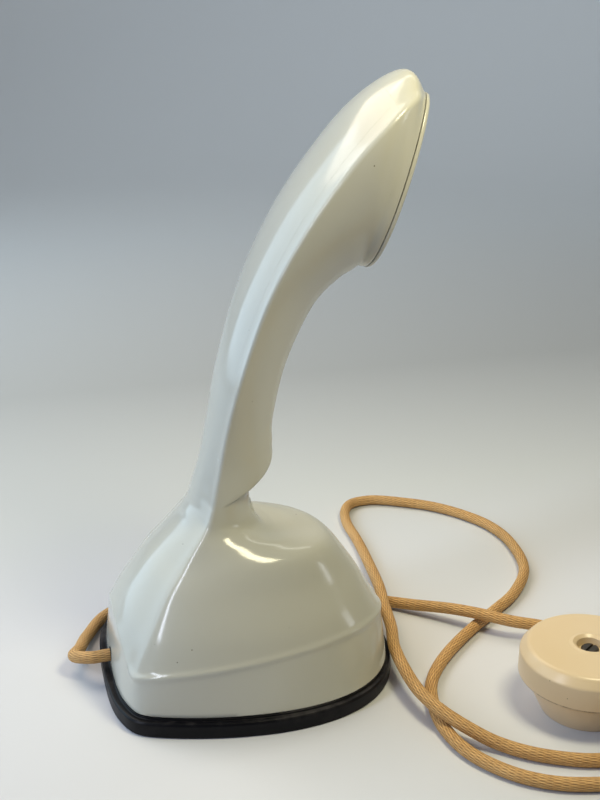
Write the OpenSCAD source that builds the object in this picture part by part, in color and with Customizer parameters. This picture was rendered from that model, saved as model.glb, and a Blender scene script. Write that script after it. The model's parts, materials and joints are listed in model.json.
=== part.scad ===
// One-piece upright desk telephone with the dial in its underside.
// It faces +X, is symmetric about Y = 0 and stands on Z = 0.

/* [Case] */
// Wall of the moulded case
wall = 2.6; // [2:0.1:3]
// Thickness of the glued cover strip down the back of the neck
cover_t = 1.2; // [0.8:0.1:1.4]
// How far the ear cap's rim stands off the case's front edge
cap_gap = 0.3; // [0.3:0.1:0.6]

/* [Foot] */
// Height of the rubber foot ring, which the case stands on
foot_h = 7; // [6.5:0.5:7]
// How far the foot ring stands out past the case at the table
foot_out = 3; // [2:0.5:4]

/* [Dial] */
// Outer radius of the finger wheel
wheel_r = 38; // [36:0.5:38.5]
// Radius of the circle that the finger holes lie on
hole_ring_r = 29.5; // [28:0.5:30]
// Radius of one finger hole
finger_r = 6.5; // [5.5:0.5:7]
// Tooth size (module) of the dial's gears
tooth_m = 0.8; // [0.8:0.1:0.8]

/* [Hook button] */
// Radius of the button in the middle of the dial
button_r = 8.5; // [7:0.5:8.5]
// How far the button springs out when the telephone is picked up
button_travel = 5; // [3:0.5:5]

/* [Cord] */
// Diameter of the braided cord
cord_d = 5; // [4:0.5:5.5]
// Inner radius of the coil that the spare cord lies in
coil_in_r = 18.5; // [17:0.5:20]
// Outer radius of that coil
coil_out_r = 33.5; // [32:0.5:36]

/* [Wall plug] */
// Radius of the plug's round cover
plug_r = 26.5; // [24:0.5:27]
// Height of the plug's cover above its tapered body
plug_cover_h = 14; // [10:1:16]

/* [Hidden] */
$fn = 48;

case_grey = [0.80, 0.80, 0.76];
rubber_black = [0.07, 0.07, 0.08];
plug_cream = [0.88, 0.80, 0.62];
cord_brown = [0.67, 0.49, 0.27];
steel = [0.66, 0.67, 0.69];
brass = [0.80, 0.65, 0.35];

// Sections of the case from its bottom edge (row 0) over the shoulder (row 1),
// the round body, the throat (rows 7 and 8), the chin (row 9), the neck and the head
// to the ear cap's seam (row 18). Each row has
// the back line's x z, the ridge's x half-width z, the front line's x z,
// the back curve's reach at the back line and at the ridge, with its angle there,
// the flank's angle at the ridge, its reach there and at the front line,
// and how far the flank's middle sags below or behind its ends.
SECTIONS = [
    [-55.5, 7.0, -49.7, 37.9, 7.0, 56.8, 7.0, 0.60, 11, 66, 53, 6, 79, 0],
    [-53.5, 33.0, -50.8, 32.2, 19.6, 56.0, 22.0, 0.60, 12, 68, 53, 32, 49, -9],
    [-48.5, 41.0, -43.0, 31.0, 34.5, 50.8, 31.5, 0.55, 12, 72, 45, 30, 43, -4],
    [-40.0, 52.5, -35.5, 26.5, 48.5, 44.4, 42.4, 0.55, 10, 78, 38, 28, 34, -2],
    [-33.0, 60.0, -28.5, 23.0, 57.5, 34.0, 56.0, 0.55, 8, 80, 30, 26, 29, -1],
    [-26.0, 67.5, -22.5, 21.0, 65.0, 23.2, 60.0, 0.55, 7, 80, 22, 20, 21, 0],
    [-23.5, 72.0, -18.5, 19.5, 70.0, 11.0, 62.0, 0.55, 6, 80, 10, 12, 15, 0],
    [-21.5, 75.5, -17.0, 19.0, 73.0, 5.2, 66.0, 0.55, 5, 80, 0, 10, 9, 0],
    [-20.5, 79.0, -15.8, 18.2, 76.5, 2.0, 82.4, 0.55, 5, 80, -8, 10, 9, 2],
    [-19.5, 82.5, -14.8, 17.5, 80.0, 10.6, 90.7, 0.55, 5, 80, -5, 10, 9, 4],
    [-16.5, 92.0, -12.5, 16.5, 90.5, 11.8, 96.5, 0.55, 5, 82, -12, 10, 9, 0],
    [-13.5, 105.0, -9.5, 17.5, 107.0, 12.2, 107.0, 0.55, 5, 84, -18, 10, 8, 0],
    [-9.0, 127.0, -4.5, 20.5, 128.0, 17.5, 129.0, 0.55, 5, 86, -22, 12, 8, 0],
    [-0.5, 155.0, 5.5, 23.5, 158.0, 27.5, 150.0, 0.55, 5, 87, -20, 14, 9, 0],
    [13.0, 183.0, 18.0, 26.0, 182.0, 36.5, 159.5, 0.55, 5, 87, -12, 16, 12, 0],
    [29.0, 206.5, 33.0, 27.0, 203.0, 43.5, 163.5, 0.55, 5, 86, 0, 18, 16, 2],
    [45.5, 225.0, 48.0, 26.5, 219.0, 45.0, 164.3, 0.55, 5, 82, 8, 20, 20, 3],
    [62.0, 235.0, 60.1, 20.0, 226.6, 46.2, 164.0, 0.55, 6, 72, 20, 22, 25, 4],
    [69.3, 226.9, 67.2, 9.2, 226.1, 47.4, 163.8, 0.60, 4, 75, 59, 20, 29, 3.3]
];
seam_row = len(SECTIONS) - 1;

// Steps along the back curve; the cover strip's edge lies between two close steps.
BACK_STEPS = [0, 0.2, 0.4, 0.61, 0.65, 0.85];
FLANK_STEPS = 12;
cover_step = 3;
// First and last rows of the cover strip, each a close pair like its edge.
COVER_ENDS = [10.40, 10.46, 16.30, 16.36];

OUTER_ROWS = concat(
    [0],
    [for (i = [0:27]) 1 + i / 3],
    [COVER_ENDS[0], COVER_ENDS[1]],
    [for (i = [0:15]) 10.8 + 0.35 * i],
    [COVER_ENDS[2], COVER_ENDS[3]],
    [16.7, 17.0, 17.3, 17.6, 17.8, seam_row]
);
// The inner skin runs straight past the chin, which is solid.
INNER_ROWS = concat(
    [0, 1, 1.6, 2.2, 3, 3.6, 4.3, 5, 5.7, 6.4, 7.2, 8],
    [for (i = [0:16]) 10 + 0.5 * i]
);

function bezier(a, b, c, d, t) =
    a * pow(1 - t, 3) + 3 * b * t * pow(1 - t, 2) + 3 * c * t * t * (1 - t) + d * pow(t, 3);
function unit(v) = v / norm(v);
function mirror_y(p) = [p.x, -p.y, p.z];

// A smooth curve through the rows of a list, taken at u counted in rows.
function smooth_row(rows, u, first) =
    let (
        last = len(rows) - 1,
        i = min(floor(u), last - 1),
        t = u - i,
        p1 = rows[i],
        p2 = rows[i + 1],
        p0 = i > first ? rows[i - 1] : 2 * p1 - p2,
        p3 = i < last - 1 ? rows[i + 2] : 2 * p2 - p1
    )
    0.5 * (2 * p1 + (p2 - p0) * t + (2 * p0 - 5 * p1 + 4 * p2 - p3) * t * t
        + (3 * p1 - p0 - 3 * p2 + p3) * t * t * t);

// The skirt below the shoulder is straight; all above it is one smooth loft.
function section(u) =
    u < 1 ? SECTIONS[0] * (1 - u) + SECTIONS[1] * u : smooth_row(SECTIONS, u, 1);

// Half a section from the back line over the ridge to the front line, on the -Y side.
function half_ring(u) =
    let (
        r = section(u),
        back = [r[0], 0, r[1]],
        ridge = [r[2], -r[3], r[4]],
        front = [r[5], 0, r[6]],
        along = unit([front.x - ridge.x, 0, front.z - ridge.z]),
        across = [along.z, 0, -along.x],
        fall = unit([ridge.x - back.x, 0, ridge.z - back.z]),
        back_2 = back + [0, -r[7] * r[3], 0],
        ridge_1 = ridge - r[8] * (cos(r[9]) * fall - [0, sin(r[9]), 0]),
        ridge_2 = ridge + r[11] * (cos(r[10]) * along - [0, sin(r[10]), 0]) + r[13] * across,
        front_1 = front + [0, -r[12], 0] + r[13] * across
    )
    concat(
        [for (t = BACK_STEPS) bezier(back, back_2, ridge_1, ridge, t)],
        [for (i = [0:FLANK_STEPS]) bezier(ridge, ridge_2, front_1, front, i / FLANK_STEPS)]
    );

// The section's other half, so that the ring closes.
function whole_ring(half) =
    concat(half, [for (i = [len(half) - 2:-1:1]) mirror_y(half[i])]);

// The case's half section moved inward by d along the surface's normals.
function sunk_half(u, d) =
    let (
        h = half_ring(u),
        below = half_ring(max(u - 0.12, u < 1 ? 0 : 1)),
        above = half_ring(min(u + 0.12, seam_row)),
        n = len(h)
    )
    [for (i = [0:n - 1])
        let (
            side = i == 0 ? h[1] - mirror_y(h[1])
                : i == n - 1 ? mirror_y(h[n - 2]) - h[n - 2]
                : h[i + 1] - h[i - 1],
            rise = above[i] - below[i]
        )
        h[i] - d * unit(cross(side, rise))];

function is_cover_row(u) = u > COVER_ENDS[0] && u < COVER_ENDS[3];

// The case's outside, with the cover strip's shallow recess.
function outer_half(u) =
    let (h = half_ring(u), low = is_cover_row(u) ? sunk_half(u, cover_t) : h)
    [for (i = [0:len(h) - 1]) i <= cover_step && is_cover_row(u) ? low[i] : h[i]];

// The notch in the bottom edge that the cord leaves through.
notch_z = 17;
function notched(half) = [for (i = [0:len(half) - 1]) i == 0 ? [half[0].x, 0, notch_z] : half[i]];

function outer_ring(u) = whole_ring(u == 0 ? notched(half_ring(0)) : outer_half(u));
function inner_half(u) =
    let (h = sunk_half(u, wall))
    u == 0 ? notched([for (p = h) [p.x, p.y, foot_h]]) : h;

// Faces between consecutive rings of n points, as two triangles a cell.
function band_faces(rings, n, wrap) =
    [for (k = [0:rings - (wrap ? 1 : 2)], j = [0:n - 1], half = [0, 1])
        let (
            a = k * n + j,
            b = k * n + (j + 1) % n,
            c = ((k + 1) % rings) * n + (j + 1) % n,
            d = ((k + 1) % rings) * n + j
        )
        half == 0 ? [a, b, c] : [a, c, d]];

module ring_solid(rings, wrap = false) {
    n = len(rings[0]);
    ends = wrap ? [] : [
        [for (j = [n - 1:-1:0]) j],
        [for (j = [0:n - 1]) (len(rings) - 1) * n + j]
    ];
    polyhedron(
        points = [for (r = rings) each r],
        faces = [for (f = concat(band_faces(len(rings), n, wrap), ends)) [for (i = [len(f) - 1:-1:0]) f[i]]]
    );
}

module case_shell() {
    color(case_grey)
        ring_solid(
            concat(
                [for (u = OUTER_ROWS) outer_ring(u)],
                [for (i = [len(INNER_ROWS) - 1:-1:0]) whole_ring(inner_half(INNER_ROWS[i]))]
            ),
            wrap = true
        );
}

// The strip's grid runs over the ridge-side steps of both halves.
function strip_row(half, last) =
    concat([for (i = [last:-1:1]) half[i]], [for (i = [0:last]) mirror_y(half[i])]);

module back_cover() {
    rows = [for (u = OUTER_ROWS) if (u >= COVER_ENDS[0] && u <= COVER_ENDS[3]) u];
    m = 2 * (cover_step + 1) + 1;
    outer = [for (u = rows) each strip_row(half_ring(u), cover_step + 1)];
    inner = [for (i = [1:len(rows) - 2]) each strip_row(sunk_half(rows[i], cover_t), cover_step)];
    base = len(outer);
    last = len(rows) - 1;
    // A point of the inner skin; its rim is the outer skin's own rim.
    function low(k, j) =
        k == 0 || k == last || j == 0 || j == m - 1 ? k * m + j : base + (k - 1) * (m - 2) + j - 1;
    // Cells are cut on the same diagonal as the shell's, but for two whose corner needs the other.
    cells = [for (k = [0:last - 1], j = [0:m - 2])
        (k == 0 && j == 0) || (k == last - 1 && j == m - 2)
            ? [[k, j], [k, j + 1], [k + 1, j + 1], [k + 1, j]]
            : [[k, j + 1], [k + 1, j + 1], [k + 1, j], [k, j]]];
    top = [for (c = cells, half = [1, 2]) [for (q = [c[0], c[half], c[half + 1]]) q.x * m + q.y]];
    under = [for (c = cells, half = [1, 2]) [for (q = [c[0], c[half + 1], c[half]]) low(q.x, q.y)]];
    color(case_grey)
        polyhedron(points = concat(outer, inner), faces = concat(top, under));
}

// Plan outline of the case's bottom edge, moved outward by d, and by less toward the front.
front_lip = 0.65;
function lip(d, x) = d > 0 && x > 0 ? d * (1 - (1 - front_lip) * x / SECTIONS[0][5]) : d;
function plan(d) =
    let (h = half_ring(0), n = len(h))
    [for (q = whole_ring([for (i = [0:n - 1])
        let (
            side = i == 0 ? h[1] - mirror_y(h[1])
                : i == n - 1 ? mirror_y(h[n - 2]) - h[n - 2]
                : h[i + 1] - h[i - 1]
        )
        h[i] + lip(d, h[i].x) * unit([side.y, -side.x, 0])])) [q.x, q.y]];

// Stands of the three screws that hold the chassis up into the case.
STANDS = [[42, 12], [42, -12], [-30, 33], [-30, -33]];
stand_z = foot_h + 1.5;

boss_h = 7;
module case_bosses() {
    color(case_grey)
        for (p = STANDS)
            translate([p.x, p.y, stand_z])
                difference() {
                    union() {
                        cylinder(r = 3.5, h = boss_h);
                        // A web ties each boss to the wall beside it.
                        rotate(p.x > 0 ? 0 : p.y > 0 ? 90 : -90)
                            translate([0, -1, 0]) cube([p.x > 0 ? 11.7 : 11, 2, boss_h]);
                    }
                    cylinder(r = 1.25, h = boss_h);
                }
}

// The ear cap's frame: its middle, with +Z out of the cap.
CAP_MIDDLE = [58.5, 0, 196.5];
cap_tilt = 107;
CAP_OUT = [sin(cap_tilt), 0, cos(cap_tilt)];
module at_cap(out = 0) {
    translate(CAP_MIDDLE + out * CAP_OUT) rotate([0, cap_tilt, 0]) children();
}

// Rings of the cap: size against the seam, and height above it.
CAP_FRONT = [[1, 0.3], [1.01, 0.8], [1.01, 1.6], [0.98, 2.2], [0.8, 1.8], [0.56, 1.0], [0.5, 0.2], [0.2, 0]];
CAP_BACK = [[0.2, -2.2], [0.5, -2.0], [0.72, -1.4], [0.79, 0.3]];

module ear_cap() {
    seam = outer_ring(seam_row);
    rings = [for (s = concat(CAP_BACK, CAP_FRONT))
        [for (p = seam) CAP_MIDDLE + s[0] * (p - CAP_MIDDLE) + (s[1] + cap_gap - 0.3) * CAP_OUT]];
    color(case_grey)
        difference() {
            ring_solid(rings);
            at_cap(-4) cylinder(r = 1.5, h = 10, $fn = 24);
            at_cap(-4)
                for (a = [0:60:300])
                    rotate(a) translate([6.5, 0, 0]) cylinder(r = 1.5, h = 10, $fn = 24);
        }
}

module receiver_capsule() {
    color(steel) at_cap(-18) {
        cylinder(r = 12, h = 3);
        translate([0, 0, 3]) cylinder(r = 17, h = 6.5);
    }
}

module receiver_gasket() {
    color(rubber_black)
        at_cap(-8.5)
            difference() {
                cylinder(r = 16.5, h = 2.1);
                cylinder(r = 11, h = 2.1);
            }
}

// A bar of even thickness along hand-set points, ring by ring, with n sides.
function bar_ring(points, k, r, n) =
    let (
        last = len(points) - 1,
        dir = unit(points[min(k + 1, last)] - points[max(k - 1, 0)]),
        side = unit(cross(dir, abs(dir.z) > 0.9 ? [0, 1, 0] : [0, 0, 1])),
        up = cross(side, dir)
    )
    [for (j = [0:n - 1]) points[k] + r * (cos(360 * j / n) * side + sin(360 * j / n) * up)];
function bar_rings(points, r, n) = [for (k = [0:len(points) - 1]) bar_ring(points, k, r, n)];

// Points at even steps along a smooth curve through hand-set ones.
function smooth_points(points, steps) =
    [for (i = [0:steps]) smooth_row(points, i * (len(points) - 1) / steps, 0)];

WIRE_POINTS = [
    [38.6, 0, 196], [31, 0, 183], [20, 0, 165], [11, 0, 145],
    [3, 0, 120], [-3, 0, 95], [-10, 0, 75], [-20, 0, 58], [-32, 0, 47], [-36, 0, 38.5]
];
module receiver_wires() {
    color("green")
        for (y = [-1.6, 1.6])
            translate([0, y, 0]) ring_solid(bar_rings(smooth_points(WIRE_POINTS, 18), 1, 8));
}

// The transmitter sits in the round body, facing up to the throat.
module at_transmitter() {
    translate([21, 0, 40]) rotate([0, -15, 0]) children();
}
module transmitter_capsule() {
    color(steel) at_transmitter() cylinder(r = 15, h = 8, center = true);
}
module transmitter_bracket() {
    color(steel) at_transmitter()
        translate([0, 0, -5.5])
            difference() {
                union() {
                    cylinder(r = 15, h = 1.5);
                    translate([0, -5, 0]) cube([18.5, 10, 1.5]);
                }
                cylinder(r = 6, h = 1.5);
            }
    color(steel)
        translate([38.6, -5, stand_z]) cube([1.5, 10, 31]);
}

module foot_ring() {
    color(rubber_black)
        difference() {
            union() {
                linear_extrude(foot_h - 1.5) polygon(plan(foot_out));
                linear_extrude(foot_h) polygon(plan(foot_out - 0.8));
            }
            linear_extrude(foot_h) polygon(plan(-6));
        }
}

plate_hole_r = 12;
module chassis_plate() {
    color(steel)
        translate([0, 0, foot_h])
            difference() {
                linear_extrude(stand_z - foot_h) polygon(plan(-wall - 0.5));
                cylinder(r = plate_hole_r, h = 2);
                for (p = STANDS)
                    translate(p) cylinder(r = 1.6, h = 2);
            }
}

module chassis_screws() {
    color(steel)
        for (p = STANDS)
            translate([p.x, p.y, foot_h - 1.8]) {
                cylinder(r = 2.8, h = 1.8);
                cylinder(r = 1.25, h = 8);
            }
}

// Heights of the dial's layers above the table.
wheel_z = 2.6;
wheel_t = 1.9;
plate_t = 1.0;
gear_z = 12;
gear_t = 2;
bridge_z = 20;
bridge_t = 1.6;
sleeve_r = 11;
sleeve_in_r = 9.05;
hub_r = 9;
stop_angle = -60;
number_r = 38.8;

module number_plate() {
    color("white")
        translate([0, 0, foot_h - plate_t])
            difference() {
                cylinder(r = number_r, h = plate_t, $fn = 96);
                cylinder(r = plate_hole_r, h = plate_t);
            }
}

// A bent metal finger that reaches under the wheel's rim from outside it.
module finger_stop() {
    color(steel)
        rotate(stop_angle) {
            translate([number_r + 0.2, -3, 1]) cube([1.4, 6, foot_h - 1]);
            translate([27, -3, 1]) cube([number_r - 25.4, 6, 1]);
        }
}

module finger_wheel() {
    color("white")
        translate([0, 0, wheel_z])
            linear_extrude(wheel_t)
                difference() {
                    circle(r = wheel_r, $fn = 96);
                    circle(r = sleeve_r);
                    for (k = [2:11])
                        rotate(stop_angle - 30 * k) translate([hole_ring_r, 0]) circle(r = finger_r);
                }
}

module dial_sleeve() {
    color(brass)
        translate([0, 0, wheel_z])
            difference() {
                cylinder(r = sleeve_r, h = gear_z + gear_t - wheel_z);
                cylinder(r = sleeve_in_r, h = gear_z + gear_t - wheel_z);
            }
}

// A spur gear's outline with straight-sided teeth that leave ample play.
function gear_outline(teeth) =
    let (pitch_r = tooth_m * teeth / 2, step = 360 / teeth)
    [for (i = [0:teeth - 1], corner = [[-0.29, -1.0], [-0.1, 0.7], [0.1, 0.7], [0.29, -1.0]])
        let (a = (i + corner[0]) * step, r = pitch_r + corner[1] * tooth_m)
        r * [cos(a), sin(a)]];

GEAR_TEETH = 60;
PINION_TEETH = 12;
gear_gap = tooth_m * (GEAR_TEETH + PINION_TEETH) / 2 + 0.2;

module main_gear() {
    color(brass)
        translate([0, 0, gear_z])
            difference() {
                linear_extrude(gear_t) polygon(gear_outline(GEAR_TEETH));
                cylinder(r = sleeve_r, h = gear_t);
            }
}

// The return spring's coils, shown as one flat ring with its outer hook.
module dial_spring() {
    color(steel)
        translate([0, 0, stand_z])
            difference() {
                union() {
                    cylinder(r = 17, h = 2.4);
                    translate([16, -1, 0]) cube([5, 2, 2.4]);
                }
                cylinder(r = 11.8, h = 2.4);
            }
}

// The fixed tube that the dial turns on hangs from the bridge.
module hub_tube() {
    color(brass)
        translate([0, 0, 9])
            difference() {
                cylinder(r = hub_r, h = bridge_z - 9);
                cylinder(r = 7.2, h = bridge_z - 9);
            }
}

stem_r = 3;
PILLARS = [[31, 0], [-31, 0]];
module bridge_plate() {
    color(steel)
        translate([0, 0, bridge_z])
            difference() {
                union() {
                    linear_extrude(bridge_t) {
                        square([70, 12], center = true);
                        circle(r = 12);
                    }
                    translate([0, 0, -2]) cylinder(r = 5.5, h = bridge_t + 2);
                }
                translate([0, 0, -2]) cylinder(r = stem_r + 0.05, h = bridge_t + 2);
                for (p = PILLARS)
                    translate(p) cylinder(r = 1.5, h = bridge_t);
            }
}

module bridge_pillars() {
    color(brass)
        for (p = PILLARS)
            translate([p.x, p.y, stand_z])
                difference() {
                    cylinder(r = 3, h = bridge_z - stand_z);
                    translate([0, 0, 6]) cylinder(r = 1.2, h = bridge_z - stand_z - 6);
                }
}

module bridge_screws() {
    color(steel)
        for (p = PILLARS)
            translate([p.x, p.y, bridge_z + bridge_t]) {
                cylinder(r = 2.6, h = 1.6);
                translate([0, 0, -bridge_t - 4]) cylinder(r = 1.2, h = bridge_t + 4);
            }
}

// The governor: a spindle that the gear drives, with two weights inside a fixed cup.
module at_governor() {
    translate([0, gear_gap, 0]) children();
}
spindle_r = 1.25;
module governor_spindle() {
    color(steel) at_governor() {
        translate([0, 0, stand_z + 0.3]) cylinder(r = spindle_r, h = 15);
        translate([0, 0, gear_z - 0.2])
            linear_extrude(gear_t + 0.4) rotate(180 / PINION_TEETH) polygon(gear_outline(PINION_TEETH));
    }
}
module governor_weights() {
    color(brass) at_governor()
        translate([0, 0, 17])
            difference() {
                union() {
                    cylinder(r = 3, h = 3);
                    translate([-7.5, -1, 0.5]) cube([15, 2, 2]);
                    for (s = [-1, 1])
                        translate([s * 7, 0, 0]) cylinder(r = 1.6, h = 3);
                }
                cylinder(r = spindle_r, h = 3);
            }
}
module governor_cup() {
    color(brass) at_governor()
        translate([0, 0, 16])
            difference() {
                cylinder(r = 11, h = 5);
                cylinder(r = 9.8, h = 5);
            }
}
module governor_bridge() {
    color(steel) at_governor()
        translate([0, 0, 21])
            difference() {
                union() {
                    cylinder(r = 11, h = 1.2);
                    translate([-17, -3, 0]) cube([34, 6, 1.2]);
                }
                cylinder(r = spindle_r + 0.05, h = 1.2);
            }
}
module governor_pillars() {
    color(brass) at_governor()
        for (x = [-15, 15])
            translate([x, 0, stand_z]) cylinder(r = 2, h = 21 - stand_z);
}
module pulse_cam() {
    color("white") at_governor()
        translate([0, 0, 9.4])
            difference() {
                union() {
                    cylinder(r = 2.4, h = 2);
                    translate([-3.6, -1, 0]) cube([7.2, 2, 2]);
                }
                cylinder(r = spindle_r, h = 2);
            }
}
module pulse_contacts() {
    color(brass) at_governor()
        for (y = [4.2, 5.4])
            translate([-14, y, stand_z + 0.6]) cube([20, 0.4, 2.4]);
    color("tan") at_governor()
        translate([-14, 4, stand_z]) cube([6, 3, 5]);
}

// The hook button in the dial's middle, pressed in while the telephone stands.
button_h = 6.8;
stem_top = 29;
collar_z = bridge_z + bridge_t + button_travel + 0.4;
module hook_button() {
    color("firebrick")
        difference() {
            cylinder(r = button_r, h = button_h);
            translate([0, 0, 2]) cylinder(r = stem_r, h = button_h - 2);
        }
}
module hook_stem() {
    color(steel)
        translate([0, 0, 2]) cylinder(r = stem_r, h = stem_top - 2);
}
module stem_collar() {
    color(steel)
        translate([0, 0, collar_z])
            difference() {
                cylinder(r = 5, h = 1);
                cylinder(r = stem_r, h = 1);
            }
}

// A spring wound round the stem between the button and the bridge.
spring_low = button_h;
spring_high = bridge_z - 2;
SPRING_TURNS = 5;
module hook_spring() {
    wire_r = 0.5;
    coil_r = 4.6;
    rise = spring_high - spring_low - 2 * wire_r;
    points = [for (i = [0:60])
        let (a = 360 * SPRING_TURNS * i / 60)
        [coil_r * cos(a), coil_r * sin(a), spring_low + wire_r + rise * i / 60]];
    color(steel) ring_solid(bar_rings(points, wire_r, 6));
}

// The lever that the stem lets down to close the hook contacts.
lever_x = -20;
lever_z = 30.6;
module hook_lever() {
    color(steel)
        difference() {
            union() {
                translate([lever_x, -2.5, lever_z - 0.8]) cube([24, 5, 1.6]);
                translate([lever_x, 2.5, lever_z]) rotate([90, 0, 0]) cylinder(r = 2.2, h = 5);
            }
            translate([lever_x, 3, lever_z]) rotate([90, 0, 0]) cylinder(r = 1.05, h = 6);
        }
}
module lever_pin() {
    color(steel)
        translate([lever_x, 5.5, lever_z]) rotate([90, 0, 0]) cylinder(r = 1, h = 11);
}
module lever_bracket() {
    color(steel)
        difference() {
            for (y = [-5.2, 3.7])
                translate([lever_x - 3, y, bridge_z + bridge_t]) cube([6, 1.5, 11.4]);
            translate([lever_x, 7, lever_z]) rotate([90, 0, 0]) cylinder(r = 1, h = 14);
        }
}
module hook_contacts() {
    color(brass)
        for (z = [35, 37])
            translate([lever_x - 4, -2, z]) cube([20, 4, 0.4]);
    color("tan")
        translate([lever_x - 8, -4, bridge_z + bridge_t]) cube([4, 8, 17]);
}

// The speech coil lies across the back of the body.
COIL_AT = [-36, 0, 31];
module coil_core() {
    color(steel)
        translate(COIL_AT) {
            translate([-4, -15, -4]) cube([8, 30, 8]);
            for (y = [-15, 12]) {
                translate([-7, y, -7]) cube([14, 3, 14]);
                translate([-7, y, stand_z - COIL_AT.z]) cube([5, 3, COIL_AT.z - stand_z]);
            }
        }
}
module coil_winding() {
    color("peru")
        translate(COIL_AT)
            difference() {
                translate([-6.8, -12, -6.8]) cube([13.6, 24, 13.6]);
                translate([-4, -12, -4]) cube([8, 24, 8]);
            }
}

CAPACITOR_AT = [4, -30, 15];
module capacitor() {
    color(brass)
        translate(CAPACITOR_AT) rotate([0, 90, 0]) cylinder(r = 5, h = 22);
}
module capacitor_clip() {
    color(steel)
        translate(CAPACITOR_AT + [8, 0, 0])
            difference() {
                union() {
                    rotate([0, 90, 0]) cylinder(r = 6, h = 5);
                    translate([0, -6, stand_z - CAPACITOR_AT.z]) cube([5, 12, 3]);
                }
                rotate([0, 90, 0]) cylinder(r = 5, h = 5);
            }
}

cord_r = cord_d / 2;
cord_exit_z = 11.2;
SCREW_YS = [-7.5, -2.5, 2.5, 7.5];
module terminal_block() {
    color("saddlebrown")
        difference() {
            translate([-45, -10.5, stand_z]) cube([10, 21, 8]);
            for (y = SCREW_YS)
                translate([-40, y, stand_z + 3]) cylinder(r = 1.2, h = 5);
        }
}
module terminal_screws() {
    color(brass)
        for (y = SCREW_YS)
            translate([-40, y, stand_z + 3.4]) {
                cylinder(r = 1.2, h = 4.6);
                translate([0, 0, 4.6]) cylinder(r = 2.2, h = 1.2);
            }
}
module cord_clamp() {
    color(steel)
        difference() {
            translate([-50, -6, stand_z]) cube([3, 12, 6.5]);
            translate([-51, 0, cord_exit_z]) rotate([0, 90, 0]) cylinder(r = cord_r + 0.1, h = 5);
            translate([-51, -cord_r - 0.1, stand_z - 1]) cube([5, 2 * cord_r + 0.2, cord_exit_z - stand_z + 1]);
        }
}
grommet_l = 2.7;
module cord_grommet() {
    color(rubber_black)
        translate([-55.3, 0, cord_exit_z])
            rotate([0, 90, 0])
                difference() {
                    cylinder(r = 3.3, h = grommet_l);
                    cylinder(r = cord_r + 0.1, h = grommet_l);
                }
}

// The cord's route from inside the case, round the back, out past the plug, back in a
// loop before the telephone, and on to the spare length's coil. Heights rise where it
// crosses itself.
RUN_POINTS = [
    [-45.4, 0, 11.2], [-56, 0, 11.2], [-63, 1, 10.5], [-69, 8, 8], [-66, 18, 5],
    [-61.5, 31.5, 2.8], [-51, 47.5, 2.6], [-28, 57, 2.6], [0, 60, 2.6], [28, 54, 2.6],
    [51.5, 41.5, 2.6], [64, 30.5, 2.6], [78, 19, 4], [92, 6, 7], [102, -4, 8.4], [113, -13, 8.2],
    [127, -19, 6.5], [142, -29, 3.5], [154, -44, 2.6], [160, -62, 2.6],
    [158, -82, 2.6], [146, -95, 2.6], [126, -101, 2.6], [107, -101.5, 2.6], [89, -94, 2.6],
    [76, -84, 3.2], [66, -75, 6.5], [59.5, -64.5, 8.4], [56.5, -52, 8.6], [55.8, -38, 9.4],
    [57, -22, 9.9], [60.6, -8, 10], [62.8, 4, 9.8], [64.6, 14, 9.2], [67.5, 27, 8.3], [70, 41, 6.6],
    [73, 60, 4], [75, 76, 2.8], [76, 90, 2.6], [76.5, 106, 2.6], [79.5, 120, 2.6], [86, 129, 2.6],
    [98, 130.5, 2.6], [112, 124, 2.6], [126, 114.5, 2.6], [138, 100.5, 2.6], [146, 84, 2.6],
    [148, 64, 2.6], [143, 39, 2.6], [129, 19, 2.6], [112, 5, 2.6], [95, -8, 2.6], [78, -24, 2.6],
    [67, -39, 2.6], [62, -54, 2.6], [60.5, -70, 2.6], [64, -86, 2.6], [74, -100.5, 2.6],
    [87, -109.5, 2.6], [104, -114.5, 2.6], [130, -121, 2.6], [156, -128, 2.6], [174, -134, 2.6], [186, -138.5, 2.6]
];
COIL_MIDDLE = [206, -112];
coil_h = 10.4;
TAIL_POINTS = [
    [197, -80.8, 7.7], [187, -79.5, 7.8], [176, -74.5, 8], [165, -68.5, 8.2], [152, -66, 8], [144, -66, 8]
];

module cord_run() {
    color(cord_brown)
        ring_solid(bar_rings(smooth_points(RUN_POINTS, 74), cord_r, 8));
}
module cord_coil() {
    color(cord_brown)
        translate([COIL_MIDDLE.x, COIL_MIDDLE.y, 0])
            rotate_extrude()
                translate([coil_in_r, 0.1]) square([coil_out_r - coil_in_r, coil_h]);
}
module cord_tie() {
    color(rubber_black)
        translate([COIL_MIDDLE.x + coil_in_r - 1.5, COIL_MIDDLE.y - 3, 0])
            difference() {
                cube([coil_out_r - coil_in_r + 3, 6, coil_h + 1.4]);
                translate([1, 0, 0]) cube([coil_out_r - coil_in_r + 0.7, 6, coil_h + 0.2]);
            }
}
module cord_tail() {
    color(cord_brown)
        ring_solid(bar_rings(smooth_points(TAIL_POINTS, 8), cord_r, 8));
}

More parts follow.
